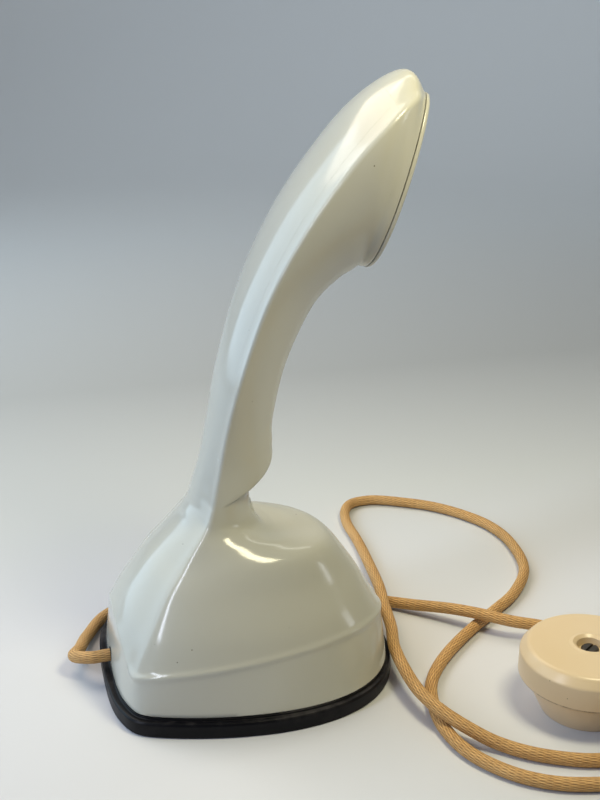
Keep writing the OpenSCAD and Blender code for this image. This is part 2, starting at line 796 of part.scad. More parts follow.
// The round wall plug lies on its tapered body, cover up.
PLUG_MIDDLE = [120, -66, 0];
plug_body_h = 13.5;
body_low_r = 17.5;
body_high_r = 24;
cover_low = plug_body_h + 0.5;
plug_top = cover_low + plug_cover_h;
module plug_cover() {
    round_r = 3;
    color(plug_cream)
        translate(PLUG_MIDDLE)
            difference() {
                translate([0, 0, cover_low])
                    rotate_extrude($fn = 96) {
                        square([plug_r, plug_cover_h - round_r]);
                        square([plug_r - round_r, plug_cover_h]);
                        translate([plug_r - round_r, plug_cover_h - round_r]) circle(r = round_r);
                    }
                translate([0, 0, plug_top - 4]) cylinder(r = 5, h = 4);
                translate([0, 0, cover_low]) cylinder(r = 1.7, h = plug_cover_h);
                translate([0, 0, cover_low]) cylinder(r = plug_r - 2.5, h = 7);
            }
}
module plug_body() {
    color(plug_cream)
        translate(PLUG_MIDDLE)
            difference() {
                union() {
                    cylinder(r1 = body_low_r, r2 = body_high_r, h = plug_body_h, $fn = 96);
                    cylinder(r = 6, h = plug_top - 7);
                }
                cylinder(r1 = body_low_r - 2, r2 = body_high_r - 4, h = plug_body_h - 4);
                cylinder(r = 1.5, h = plug_top);
            }
}
PIN_ANGLES = [0, 90, 180, 270];
module plug_pins() {
    color(brass)
        translate(PLUG_MIDDLE)
            for (a = PIN_ANGLES)
                rotate(a + 30) translate([11, 0, 0.5]) cylinder(r = 2, h = plug_body_h - 4.5);
}
module plug_screw() {
    color(steel)
        translate(PLUG_MIDDLE + [0, 0, plug_top - 4])
            difference() {
                union() {
                    cylinder(r = 3.4, h = 2);
                    translate([0, 0, -8]) cylinder(r = 1.5, h = 8);
                }
                translate([-3.4, -0.5, 1]) cube([6.8, 1, 1]);
            }
}
module plug_grommet() {
    color(rubber_black)
        translate([PLUG_MIDDLE.x + 20, PLUG_MIDDLE.y, 8])
            rotate([0, 90, 0])
                difference() {
                    cylinder(r1 = 4.5, r2 = 3.6, h = 13.5);
                    cylinder(r = cord_r + 0.1, h = 13.5);
                }
}

case_shell();
back_cover();
case_bosses();
ear_cap();
receiver_capsule();
receiver_gasket();
receiver_wires();
transmitter_capsule();
transmitter_bracket();
foot_ring();
chassis_plate();
chassis_screws();
number_plate();
finger_stop();
finger_wheel();
dial_sleeve();
main_gear();
dial_spring();
hub_tube();
bridge_plate();
bridge_pillars();
bridge_screws();
governor_cup();
governor_bridge();
governor_pillars();
governor_spindle();
governor_weights();
pulse_cam();
pulse_contacts();
hook_button();
hook_stem();
stem_collar();
hook_spring();
hook_lever();
lever_pin();
lever_bracket();
hook_contacts();
coil_core();
coil_winding();
capacitor();
capacitor_clip();
terminal_block();
terminal_screws();
cord_clamp();
cord_grommet();
cord_run();
cord_coil();
cord_tie();
cord_tail();
plug_cover();
plug_body();
plug_pins();
plug_screw();
plug_grommet();
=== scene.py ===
"""Looks of the one-piece telephone: fine surfaces, materials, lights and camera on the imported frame."""
import json
import math

import bmesh
import bpy
import numpy as np
from mathutils import Matrix, Vector


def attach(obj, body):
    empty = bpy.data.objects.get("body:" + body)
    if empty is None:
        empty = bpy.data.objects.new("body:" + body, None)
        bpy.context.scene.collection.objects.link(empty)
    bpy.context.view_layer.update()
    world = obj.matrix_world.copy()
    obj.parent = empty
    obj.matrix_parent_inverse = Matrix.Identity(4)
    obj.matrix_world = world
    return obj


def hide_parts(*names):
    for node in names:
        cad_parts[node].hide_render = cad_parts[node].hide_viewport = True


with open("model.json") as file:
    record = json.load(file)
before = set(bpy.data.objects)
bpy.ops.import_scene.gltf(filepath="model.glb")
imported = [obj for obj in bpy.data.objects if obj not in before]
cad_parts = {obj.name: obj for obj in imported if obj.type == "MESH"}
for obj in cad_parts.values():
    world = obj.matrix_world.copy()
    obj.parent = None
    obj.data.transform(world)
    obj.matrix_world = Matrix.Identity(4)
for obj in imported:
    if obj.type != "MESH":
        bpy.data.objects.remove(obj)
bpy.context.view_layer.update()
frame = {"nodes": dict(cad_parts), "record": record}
nodes = frame["nodes"]
MM = 0.001

# ---------------------------------------------------------------- camera

camera_data = bpy.data.cameras.new("camera")
camera_data.lens = 54
camera_data.sensor_width = 36
camera_data.clip_start = 0.05
camera_data.clip_end = 30
camera = bpy.data.objects.new("camera", camera_data)
camera.location = (-0.0896, -0.4211, 0.2707)
camera.rotation_euler = (math.radians(70), 0, math.radians(-15))
bpy.context.scene.collection.objects.link(camera)
bpy.context.scene.camera = camera

# ---------------------------------------------------------------- materials


class Nodes:
    """A material's node tree with short calls for the usual nodes."""

    def __init__(self, name):
        self.material = bpy.data.materials.new(name)
        self.material.use_nodes = True
        self.tree = self.material.node_tree
        self.shader = self.tree.nodes["Principled BSDF"]

    def add(self, kind):
        return self.tree.nodes.new(kind)

    def link(self, source, target):
        self.tree.links.new(source, target)

    def set(self, **values):
        for key, value in values.items():
            self.shader.inputs[key.replace("_", " ")].default_value = value

    def coords(self, scale=(1, 1, 1), kind="Object"):
        source = self.add("ShaderNodeTexCoord")
        mapping = self.add("ShaderNodeMapping")
        mapping.inputs["Scale"].default_value = scale
        self.link(source.outputs[kind], mapping.inputs["Vector"])
        return mapping.outputs["Vector"]

    def noise(self, vector, scale, detail=4.0, rough=0.55):
        node = self.add("ShaderNodeTexNoise")
        node.inputs["Scale"].default_value = scale
        node.inputs["Detail"].default_value = detail
        node.inputs["Roughness"].default_value = rough
        self.link(vector, node.inputs["Vector"])
        return node.outputs["Fac"]

    def cells(self, vector, scale):
        node = self.add("ShaderNodeTexVoronoi")
        node.inputs["Scale"].default_value = scale
        self.link(vector, node.inputs["Vector"])
        return node.outputs["Distance"]

    def part(self, vector, axis):
        node = self.add("ShaderNodeSeparateXYZ")
        self.link(vector, node.inputs[0])
        return node.outputs[axis]

    def ramp(self, fac, stops):
        node = self.add("ShaderNodeValToRGB")
        elements = node.color_ramp.elements
        while len(elements) < len(stops):
            elements.new(0.5)
        for element, (place, value) in zip(elements, stops):
            element.position = place
            element.color = (value, value, value, 1) if isinstance(value, (int, float)) else (*value, 1)
        self.link(fac, node.inputs["Fac"])
        return node.outputs["Color"]

    def mix(self, fac, a, b, mode="MIX"):
        node = self.add("ShaderNodeMix")
        node.data_type = "RGBA"
        node.blend_type = mode
        for key, value in ((0, fac), (6, a), (7, b)):
            if isinstance(value, bpy.types.NodeSocket):
                self.link(value, node.inputs[key])
            elif key:
                node.inputs[key].default_value = (*value, 1)
            else:
                node.inputs[key].default_value = value
        return node.outputs[2]

    def math(self, operation, a, b=0.0, c=0.0):
        node = self.add("ShaderNodeMath")
        node.operation = operation
        for key, value in enumerate((a, b, c)):
            if isinstance(value, bpy.types.NodeSocket):
                self.link(value, node.inputs[key])
            else:
                node.inputs[key].default_value = value
        return node.outputs[0]

    def bump(self, height, distance, strength=1.0):
        node = self.add("ShaderNodeBump")
        node.inputs["Strength"].default_value = strength
        node.inputs["Distance"].default_value = distance
        self.link(height, node.inputs["Height"])
        self.link(node.outputs["Normal"], self.shader.inputs["Normal"])


def grimy(m, at, body, low, high):
    """Crumbs of brown dirt over a colour, thickest midway between two heights."""
    off_middle = m.math("ABSOLUTE", m.math("SUBTRACT", m.part(at, "Z"), (low + high) / 2))
    band = m.math("SUBTRACT", 1.0, m.math("MULTIPLY", off_middle, 2 / (high - low)))
    smear = m.ramp(band, [(0.0, 0.0), (0.5, 0.9)])
    crumbs = m.ramp(m.noise(at, 420.0, 4.0, 0.7), [(0.35, 0.15), (0.60, 1.0)])
    return m.mix(m.math("MULTIPLY", smear, crumbs), body, (0.16, 0.085, 0.035))


def aged_plastic(name, base, aged, dirt, rough, speck_scale=260.0, mottle=0.25, grime=None):
    """Moulded gloss plastic with yellowing, dust pits, worn gloss, and grime between two heights."""
    m = Nodes(name)
    at = m.coords()
    patches = m.ramp(m.noise(at, 14.0, 5.0), [(0.35, 0.0), (0.75, 1.0)])
    body = m.mix(m.math("MULTIPLY", patches, mottle), base, aged)
    pits = m.ramp(m.cells(at, speck_scale), [(0.05, 1.0), (0.09, 0.0)])
    rare = m.ramp(m.noise(at, 45.0, 2.0), [(0.60, 0.0), (0.68, 1.0)])
    specks = m.math("MULTIPLY", pits, rare)
    if grime:
        body = grimy(m, at, body, *grime)
    m.link(m.mix(specks, body, dirt), m.shader.inputs["Base Color"])
    wear = m.noise(at, 60.0, 6.0, 0.7)
    m.link(m.math("MULTIPLY_ADD", wear, 0.10, rough - 0.05), m.shader.inputs["Roughness"])
    m.bump(m.math("MULTIPLY_ADD", specks, -0.6, m.math("MULTIPLY", wear, 0.05)), 0.0002, 0.5)
    m.set(IOR=1.5)
    return m


DUST = (0.10, 0.08, 0.05)
# The heights between which dirt has settled in the plug's joint, in metres.
PLUG_GRIME = (0.0131, 0.0151)
case_plastic = aged_plastic("case plastic", (0.49, 0.49, 0.44), (0.47, 0.44, 0.35), DUST, 0.15)
plug_plastic = aged_plastic(
    "plug plastic", (0.74, 0.60, 0.41), (0.70, 0.51, 0.28), (0.10, 0.05, 0.02), 0.30, 330.0, 0.6, PLUG_GRIME
)
dial_plastic = aged_plastic("dial plastic", (0.60, 0.60, 0.57), (0.58, 0.54, 0.44), DUST, 0.25)
button_plastic = aged_plastic(
    "button plastic", (0.42, 0.02, 0.015), (0.36, 0.03, 0.02), (0.05, 0.01, 0.01), 0.28
)
inner_plastic = aged_plastic(
    "inner plastic", (0.38, 0.24, 0.12), (0.30, 0.18, 0.09), (0.05, 0.03, 0.02), 0.45
)


def foot_rubber_material():
    """Black rubber with grey dust, thickest where its surface faces up."""
    m = Nodes("foot rubber")
    at = m.coords()
    dust = m.ramp(m.noise(at, 55.0, 6.0, 0.65), [(0.50, 0.0), (0.80, 1.0)])
    upward = m.part(m.add("ShaderNodeNewGeometry").outputs["Normal"], "Z")
    lies = m.ramp(upward, [(0.45, 0.0), (0.95, 1.0)])
    fac = m.math("MULTIPLY", dust, m.math("MULTIPLY_ADD", lies, 0.55, 0.12))
    m.link(m.mix(fac, (0.004, 0.004, 0.006), (0.12, 0.11, 0.11)), m.shader.inputs["Base Color"])
    m.link(m.math("MULTIPLY_ADD", dust, 0.25, 0.38), m.shader.inputs["Roughness"])
    m.set(Specular_IOR_Level=0.15)
    m.bump(m.noise(at, 900.0, 3.0), 0.0001, 0.4)
    return m


YARNS = 16
# How often one yarn goes round the cord in a metre.
YARN_TURNS = 12


def braid_material():
    """Braided cotton over rubber: two crossing sets of fine yarns, with frayed lighter fibres."""
    m = Nodes("braid")
    at = m.coords(kind="UV")
    around, along = m.part(at, "X"), m.part(at, "Y")
    waves = []
    for turns in (YARN_TURNS, -YARN_TURNS):
        phase = m.math("MULTIPLY_ADD", along, turns * YARNS, m.math("MULTIPLY", around, YARNS))
        waves.append(m.math("SINE", m.math("MULTIPLY", phase, 2 * math.pi)))
    weave = m.math("MULTIPLY_ADD", waves[0], 0.30, m.math("MULTIPLY_ADD", waves[1], 0.20, 0.5))
    object_at = m.coords()
    uneven = m.noise(object_at, 55.0, 4.0, 0.7)
    streaks = m.noise(m.coords((26, 110, 1), "UV"), 1.0, 4.0, 0.7)
    fine = m.noise(object_at, 900.0, 3.0, 0.7)
    tone = m.ramp(weave, [
        (0.05, (0.26, 0.12, 0.038)), (0.5, (0.65, 0.37, 0.13)), (0.95, (0.86, 0.56, 0.24)),
    ])
    strand = m.mix(m.ramp(streaks, [(0.35, 0.75), (0.65, 0.0)]), tone, (0.36, 0.19, 0.06))
    worn = m.ramp(uneven, [(0.40, 0.0), (0.72, 1.0)])
    aged = m.mix(m.math("MULTIPLY", worn, 0.35), strand, (0.60, 0.38, 0.17))
    frayed = m.ramp(fine, [(0.60, 0.0), (0.74, 1.0)])
    m.link(m.mix(m.math("MULTIPLY", frayed, 0.45), aged, (0.76, 0.54, 0.25)), m.shader.inputs["Base Color"])
    m.set(Roughness=0.8)
    m.bump(m.math("MULTIPLY_ADD", fine, 0.3, weave), 0.0003, 0.8)
    return m


def metal_material(name, base, rough, dull=(0.2, 0.18, 0.15)):
    m = Nodes(name)
    at = m.coords()
    tarnish = m.ramp(m.noise(at, 90.0, 5.0, 0.6), [(0.45, 0.0), (0.80, 1.0)])
    m.link(m.mix(m.math("MULTIPLY", tarnish, 0.5), base, dull), m.shader.inputs["Base Color"])
    m.link(m.math("MULTIPLY_ADD", tarnish, 0.2, rough), m.shader.inputs["Roughness"])
    m.set(Metallic=1.0)
    m.bump(m.noise(m.coords((1, 1, 14)), 300.0, 2.0), 0.0001, 0.2)
    return m


def plain_material(name, base, rough, grain=300.0):
    m = Nodes(name)
    at = m.coords()
    shade = m.ramp(m.noise(at, grain, 3.0), [(0.3, 0.75), (0.7, 1.1)])
    m.link(m.mix(1.0, shade, base, "MULTIPLY"), m.shader.inputs["Base Color"])
    m.set(Roughness=rough)
    m.bump(m.noise(at, grain * 2, 3.0), 0.0001, 0.3)
    return m


rubber = foot_rubber_material()
braid = braid_material()
steel = metal_material("steel", (0.52, 0.52, 0.53), 0.32)
brass = metal_material("brass", (0.62, 0.44, 0.18), 0.30, (0.25, 0.16, 0.07))
aluminium = metal_material("aluminium", (0.62, 0.63, 0.64), 0.38)
dark_screw = metal_material("dark screw", (0.10, 0.09, 0.08), 0.45, (0.05, 0.035, 0.03))
green_wire = plain_material("green wire", (0.06, 0.28, 0.10), 0.5)
digit_ink = plain_material("digit ink", (0.03, 0.03, 0.035), 0.5)
tie_black = plain_material("tie black", (0.02, 0.02, 0.022), 0.5)
copper = plain_material("copper winding", (0.36, 0.15, 0.06), 0.35, 700.0)

SLOT_LOOKS = {
    "case_plastic": case_plastic, "foot_rubber": rubber, "steel": steel, "brass": brass,
    "dial_white": dial_plastic, "button_red": button_plastic, "inner_plastic": inner_plastic,
    "capsule_aluminium": aluminium, "wire_green": green_wire, "cord_textile": braid,
    "plug_cream": plug_plastic,
}
for part in frame["record"]["subparts"]:
    obj = nodes[part["node"]]
    look = copper if part["node"] == "coil_winding" else SLOT_LOOKS[part["material_slot"]]
    obj.data.materials.clear()
    obj.data.materials.append(look.material)

# ---------------------------------------------------------------- mesh helpers


def add_mesh(name, points, faces, look, body="case", smooth=True, uvs=None):
    """A new piece from points in metres, riding on a body."""
    mesh = bpy.data.meshes.new(name)
    mesh.from_pydata([tuple(p) for p in points], [], [tuple(f) for f in faces])
    if uvs is not None:
        layer = mesh.uv_layers.new(name="UVMap")
        layer.data.foreach_set("uv", np.asarray(uvs, dtype=np.float32).ravel())
    mesh.materials.append(look.material)
    mesh.validate()
    if smooth:
        mesh.shade_smooth()
    obj = bpy.data.objects.new(name, mesh)
    bpy.context.scene.collection.objects.link(obj)
    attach(obj, body)
    return obj


def grid_faces(rows, cols, wrap_cols=True, wrap_rows=False, start=0):
    """Quads between consecutive rows of points."""
    faces = []
    for k in range(rows if wrap_rows else rows - 1):
        for j in range(cols if wrap_cols else cols - 1):
            a = start + k * cols + j
            b = start + k * cols + (j + 1) % cols
            c = start + ((k + 1) % rows) * cols + (j + 1) % cols
            d = start + ((k + 1) % rows) * cols + j
            faces.append((a, b, c, d))
    return faces


def revolve(profile, middle=(0, 0, 0), steps=96, closed=True):
    """Points and faces of a (radius, z) profile turned about Z; radii may be zero."""
    points, rings = [], []
    for r, z in profile:
        if r < 1e-6:
            rings.append([len(points)])
            points.append((middle[0], middle[1], middle[2] + z))
            continue
        ring = []
        for k in range(steps):
            a = 2 * math.pi * k / steps
            ring.append(len(points))
            points.append((middle[0] + r * math.cos(a), middle[1] + r * math.sin(a), middle[2] + z))
        rings.append(ring)
    faces = []
    pairs = list(zip(rings, rings[1:])) + ([(rings[-1], rings[0])] if closed else [])
    for low, high in pairs:
        for k in range(steps):
            n = (k + 1) % steps
            if len(low) == 1 and len(high) == 1:
                break
            if len(low) == 1:
                faces.append((low[0], high[n], high[k]))
            elif len(high) == 1:
                faces.append((low[k], low[n], high[0]))
            else:
                faces.append((low[k], low[n], high[n], high[k]))
    return points, faces


def rounded(profile, radius, steps=5):
    """A (radius, z) polyline with its corners rounded; a corner's third value is its own radius."""
    out = []
    count = len(profile)
    for i, corner in enumerate(profile):
        p = Vector(corner[:2])
        r = corner[2] if len(corner) > 2 else radius
        if r <= 0 or i in (0, count - 1):
            out.append((p.x, p.y))
            continue
        a = Vector(profile[i - 1][:2]) - p
        b = Vector(profile[i + 1][:2]) - p
        half = a.angle(b, math.pi) / 2
        if half > 1.55 or half < 0.02:
            out.append((p.x, p.y))
            continue
        reach = min(r / math.tan(half), 0.49 * a.length, 0.49 * b.length)
        start, end = p + a.normalized() * reach, p + b.normalized() * reach
        for k in range(steps + 1):
            t = k / steps
            q = start * (1 - t) ** 2 + p * 2 * t * (1 - t) + end * t * t
            out.append((q.x, q.y))
    return out


def face_out(obj):
    """Makes a closed piece's faces point outward."""
    bm = bmesh.new()
    bm.from_mesh(obj.data)
    bmesh.ops.recalc_face_normals(bm, faces=bm.faces)
    bm.to_mesh(obj.data)
    bm.free()


def apply_modifiers(obj):
    """Replaces a piece's mesh with its evaluated one."""
    depsgraph = bpy.context.evaluated_depsgraph_get()
    mesh = bpy.data.meshes.new_from_object(obj.evaluated_get(depsgraph))
    obj.modifiers.clear()
    obj.data = mesh


def cut_out(obj, points, faces):
    """Cuts a closed shape, given in metres, out of a piece."""
    mesh = bpy.data.meshes.new("tool")
    mesh.from_pydata([tuple(p) for p in points], [], [tuple(f) for f in faces])
    tool = bpy.data.objects.new("tool", mesh)
    bpy.context.scene.collection.objects.link(tool)
    cut = obj.modifiers.new("cut", "BOOLEAN")
    cut.object = tool
    cut.operation = "DIFFERENCE"
    cut.solver = "EXACT"
    apply_modifiers(obj)
    bpy.data.objects.remove(tool)


def bevel_edges(obj, width):
    bevel = obj.modifiers.new("bevel", "BEVEL")
    bevel.width = width
    bevel.segments = 3
    bevel.limit_method = "ANGLE"
    bevel.angle_limit = math.radians(50)
    apply_modifiers(obj)


def many_cylinders(places, radius, low, high, steps):
    """Points in metres and faces of upright cylinders, whose sizes are given in mm."""
    points, faces = [], []
    profile = [(r * MM, z * MM) for r, z in ((0, low), (radius, low), (radius, high), (0, high))]
    for x, y in places:
        more, its_faces = revolve(profile, (x * MM, y * MM, 0), steps, closed=False)
        base = len(points)
        points += more
        faces += [tuple(i + base for i in face) for face in its_faces]
    return points, faces


# ---------------------------------------------------------------- case surface

# The same rows as SECTIONS in part.scad, in mm: the back line's x z, the ridge's
# x half-width z, the front line's x z, the back curve's reaches and angle, the flank's
# angle and reaches, and its sag.
SECTIONS = np.array([
    [-55.5, 7.0, -49.7, 37.9, 7.0, 56.8, 7.0, 0.60, 11, 66, 53, 6, 79, 0],
    [-53.5, 33.0, -50.8, 32.2, 19.6, 56.0, 22.0, 0.60, 12, 68, 53, 32, 49, -9],
    [-48.5, 41.0, -43.0, 31.0, 34.5, 50.8, 31.5, 0.55, 12, 72, 45, 30, 43, -4],
    [-40.0, 52.5, -35.5, 26.5, 48.5, 44.4, 42.4, 0.55, 10, 78, 38, 28, 34, -2],
    [-33.0, 60.0, -28.5, 23.0, 57.5, 34.0, 56.0, 0.55, 8, 80, 30, 26, 29, -1],
    [-26.0, 67.5, -22.5, 21.0, 65.0, 23.2, 60.0, 0.55, 7, 80, 22, 20, 21, 0],
    [-23.5, 72.0, -18.5, 19.5, 70.0, 11.0, 62.0, 0.55, 6, 80, 10, 12, 15, 0],
    [-21.5, 75.5, -17.0, 19.0, 73.0, 5.2, 66.0, 0.55, 5, 80, 0, 10, 9, 0],
    [-20.5, 79.0, -15.8, 18.2, 76.5, 2.0, 82.4, 0.55, 5, 80, -8, 10, 9, 2],
    [-19.5, 82.5, -14.8, 17.5, 80.0, 10.6, 90.7, 0.55, 5, 80, -5, 10, 9, 4],
    [-16.5, 92.0, -12.5, 16.5, 90.5, 11.8, 96.5, 0.55, 5, 82, -12, 10, 9, 0],
    [-13.5, 105.0, -9.5, 17.5, 107.0, 12.2, 107.0, 0.55, 5, 84, -18, 10, 8, 0],
    [-9.0, 127.0, -4.5, 20.5, 128.0, 17.5, 129.0, 0.55, 5, 86, -22, 12, 8, 0],
    [-0.5, 155.0, 5.5, 23.5, 158.0, 27.5, 150.0, 0.55, 5, 87, -20, 14, 9, 0],
    [13.0, 183.0, 18.0, 26.0, 182.0, 36.5, 159.5, 0.55, 5, 87, -12, 16, 12, 0],
    [29.0, 206.5, 33.0, 27.0, 203.0, 43.5, 163.5, 0.55, 5, 86, 0, 18, 16, 2],
    [45.5, 225.0, 48.0, 26.5, 219.0, 45.0, 164.3, 0.55, 5, 82, 8, 20, 20, 3],
    [62.0, 235.0, 60.1, 20.0, 226.6, 46.2, 164.0, 0.55, 6, 72, 20, 22, 25, 4],
    [69.3, 226.9, 67.2, 9.2, 226.1, 47.4, 163.8, 0.60, 4, 75, 59, 20, 29, 3.3],
])
SEAM_ROW = len(SECTIONS) - 1
SHARP_ANGLE = math.radians(38)
WALL = 2.6
# The strip over the neck's back: its recess, its first and last rows, and its edge's share of
# the back curve.
COVER_DEPTH = 1.2
COVER_ENDS = (10.40, 16.36)
COVER_EDGE = 0.65
# The strip's seam: its width as a share of the back curve, and the strip's gap to it in mm.
SEAM_SHARE = 0.0005
SEAM_GAP = 0.008
# How many rows the strip's rounded ends take up, low and high, and how wide they start.
COVER_ROUND = (0.35, 0.25)
COVER_END_SHARE = 0.55
# Half the rows over which the shoulder's crease is rounded off.
CREASE_BLEND = 0.03
BEAD_HEIGHT = 0.45
BEAD_WIDTH = 1.5
# How far the ridge's rounding reaches to each side, in mm, at some rows.
RIDGE_ROUND = ((0, 1, 3, 6, 9, 13, 16, 18), (4.5, 4.5, 3.2, 2.0, 1.6, 1.8, 2.2, 2.5))


def smooth_row(rows, u, first):
    last = len(rows) - 1
    i = min(int(math.floor(u)), last - 1)
    t = u - i
    p1, p2 = rows[i], rows[i + 1]
    p0 = rows[i - 1] if i > first else 2 * p1 - p2
    p3 = rows[i + 2] if i < last - 1 else 2 * p2 - p1
    bend = (2 * p0 - 5 * p1 + 4 * p2 - p3) * t * t + (3 * p1 - p0 - 3 * p2 + p3) * t ** 3
    return 0.5 * (2 * p1 + (p2 - p0) * t + bend)


def sharp_section(u):
    return SECTIONS[0] * (1 - u) + SECTIONS[1] * u if u < 1 else smooth_row(SECTIONS, u, 1)


def section(u):
    """The section with the shoulder's crease rounded off."""
    if abs(u - 1) >= CREASE_BLEND:
        return sharp_section(u)
    reach = CREASE_BLEND - abs(u - 1)
    return np.mean([sharp_section(u + reach * s) for s in np.linspace(-1, 1, 9)], axis=0)


def bezier(a, b, c, d, t):
    t = t[:, None]
    return a * (1 - t) ** 3 + 3 * b * t * (1 - t) ** 2 + 3 * c * t * t * (1 - t) + d * t ** 3


def unit(v):
    return v / np.linalg.norm(v, axis=-1, keepdims=True)


BACK_DENSE = np.linspace(0, 1, 121)
FLANK_DENSE = np.linspace(0, 1, 281)[1:]
# Points of the mirrored half that are added past each end, so that the rounding crosses Y = 0.
LEAD = 59


def half_curves(u):
    """The back curve and the flank curve of a half section, on the -Y side."""
    r = section(u)
    back = np.array([r[0], 0, r[1]])
    ridge = np.array([r[2], -r[3], r[4]])
    front = np.array([r[5], 0, r[6]])
    along = unit(np.array([front[0] - ridge[0], 0, front[2] - ridge[2]]))
    across = np.array([along[2], 0, -along[0]])
    fall = unit(np.array([ridge[0] - back[0], 0, ridge[2] - back[2]]))
    meet, lean = math.radians(r[9]), math.radians(r[10])
    back_2 = back + np.array([0, -r[7] * r[3], 0])
    ridge_1 = ridge - r[8] * (math.cos(meet) * fall - np.array([0, math.sin(meet), 0]))
    ridge_2 = ridge + r[11] * (math.cos(lean) * along - np.array([0, math.sin(lean), 0])) + r[13] * across
    front_1 = front + np.array([0, -r[12], 0]) + r[13] * across
    return (
        bezier(back, back_2, ridge_1, ridge, BACK_DENSE),
        bezier(ridge, ridge_2, front_1, front, FLANK_DENSE),
    )


BACK_COLS = 20
FLANK_COLS = 64


def half_ring(u, more_round=0.0):
    """Points of a half section with its ridge rounded, at fixed shares of its two curves."""
    back, flank = half_curves(u)
    line = np.vstack([back, flank])
    other = line * [1, -1, 1]
    whole = np.vstack([other[1:LEAD + 1][::-1], line, other[-LEAD - 1:-1][::-1]])
    steps = np.linalg.norm(np.diff(whole, axis=0), axis=1)
    s = np.concatenate([[0], np.cumsum(steps)])
    at_ridge, end = s[LEAD + len(back) - 1], s[LEAD + len(line) - 1]
    area = np.vstack([[0, 0, 0], np.cumsum((whole[1:] + whole[:-1]) / 2 * steps[:, None], axis=0)])
    s_back = np.interp(cover_shares(u), BACK_DENSE, s[LEAD:LEAD + len(back)])
    flank_t = np.linspace(0, 1, FLANK_COLS + 1)[1:] ** 1.25
    s_flank = at_ridge + (end - at_ridge) * flank_t
    want = np.concatenate([s_back, s_flank])
    reach = np.interp(u, *RIDGE_ROUND) + more_round
    fade = np.clip((3 * reach - np.abs(want - at_ridge)) / (2 * reach), 0, 1)
    w = np.maximum(reach * fade * fade * (3 - 2 * fade), 0.02)
    w = np.minimum(w, np.minimum(want - s[0], s[-1] - want))
    out = np.empty((len(want), 3))
    for axis in range(3):
        hi = np.interp(want + w, s, area[:, axis])
        lo = np.interp(want - w, s, area[:, axis])
        out[:, axis] = (hi - lo) / (2 * w)
    out[0, 1] = 0
    out[-1, 1] = 0
    return out


def cover_edge(u):
    """Where the cover strip's side edge lies on the back curve, rounded off at its two ends."""
    lo, hi = COVER_ENDS
    if not lo < u < hi:
        return COVER_EDGE
    near = min((u - lo) / COVER_ROUND[0], (hi - u) / COVER_ROUND[1], 1)
    arc = math.sqrt(1 - (1 - near) ** 2)
    return COVER_EDGE * (COVER_END_SHARE + (1 - COVER_END_SHARE) * arc)


COVER_COLS = 12


def cover_shares(u):
    """Shares along the back curve: even inside the cover, a close pair at its edge, even outside."""
    edge = cover_edge(u)
    inside = np.linspace(0, edge - SEAM_SHARE, COVER_COLS + 1)
    outside = np.linspace(edge, 1, BACK_COLS - COVER_COLS)
    return np.concatenate([inside, outside])


def normals_of(half_low, half_mid, half_high):
    """Outward normals along a half section from its neighbours below and above."""
    padded = np.vstack([half_mid[1] * [1, -1, 1], half_mid, half_mid[-2] * [1, -1, 1]])
    side = padded[2:] - padded[:-2]
    return unit(np.cross(side, half_high - half_low))


def surface(u, more_round=0.0):
    """A half section and its outward normals."""
    step = 0.05
    low = half_ring(max(u - step, 0), more_round)
    mid = half_ring(u, more_round)
    high = half_ring(min(u + step, SEAM_ROW), more_round)
    return mid, normals_of(low, mid, high)


def whole_ring(half):
    return np.vstack([half, half[-2:0:-1] * [1, -1, 1]])


def row_list():
    """Where sections are taken: close round the shoulder, and in close pairs at the cover's ends."""
    low, high = COVER_ENDS
    return [
        *np.linspace(0, 0.78, 8), *np.linspace(0.8, 1.4, 61),
        *np.arange(1.47, 6.5, 0.11), *np.arange(6.55, 10.3, 0.06),
        low - 0.03, low - SEAM_SHARE, low + SEAM_SHARE,
        *np.linspace(low + 0.03, high - 0.03, 86),
        high - SEAM_SHARE, high + SEAM_SHARE,
        *np.linspace(high + 0.04, SEAM_ROW, 20),
    ]


ROWS = row_list()
ROW_DATA = [surface(u) for u in ROWS]
COLS = 2 * (len(ROW_DATA[0][0]) - 1)
# The bottom rim's steps, as the inset from the outside and the height.
RIM_STEPS = ((2.0, 7.05), (0.7, 7.05), (0.25, 7.2), (0.05, 7.6))
# The inner skin's rows, and how much further its ridge is rounded.
INNER_ROWS = [
    SEAM_ROW, *np.arange(17.5, 9.9, -0.5), 8, 7.2, 6.4, 5.7, 5, 4.3, 3.6, 3, 2.2, 1.6, 1, 0.5, 0.06
]
INNER_MORE_ROUND = 4.0

SHOULDER = half_ring(1.0)
# The bead runs along the sides and the front and fades out round the back corners.
BEAD_FADE = np.clip((np.arange(len(SHOULDER)) - BACK_COLS + 3) / 4, 0, 1)


def case_outer(u, half, normal):
    """A row of the shell's outside: a bead along the shoulder, and sunk under the cover strip."""
    half = half.copy()
    if u < 2:
        away = np.linalg.norm(half - SHOULDER, axis=1)
        half += normal * (BEAD_FADE * BEAD_HEIGHT * np.exp(-(away / BEAD_WIDTH) ** 2))[:, None]
    if COVER_ENDS[0] < u < COVER_ENDS[1]:
        half[:COVER_COLS + 1] -= normal[:COVER_COLS + 1] * COVER_DEPTH
    return half


# The speech slots in mm: each one's height and half length, then the depth, the half width and
# the run-out at the ends that they share.
THROAT_SLOTS = ((69.5, 5.5), (72.0, 6.0), (74.5, 5.5))
SLOT_DEPTH = 1.8
SLOT_HALF_WIDTH = 0.75
SLOT_RUN_OUT = 0.8


def throat_slots(half, normal):
    """Sinks the three speech slots into the throat's front."""
    half = half.copy()
    for z, reach in THROAT_SLOTS:
        front = half[:, 0] > 0
        close = np.clip(1 - np.abs(half[:, 2] - z) / SLOT_HALF_WIDTH, 0, 1)
        ends = np.clip((reach - np.abs(half[:, 1])) / SLOT_RUN_OUT, 0, 1)
        depth = SLOT_DEPTH * np.minimum(1, 2.2 * close) * ends * front
        half -= normal * depth[:, None]
    return half


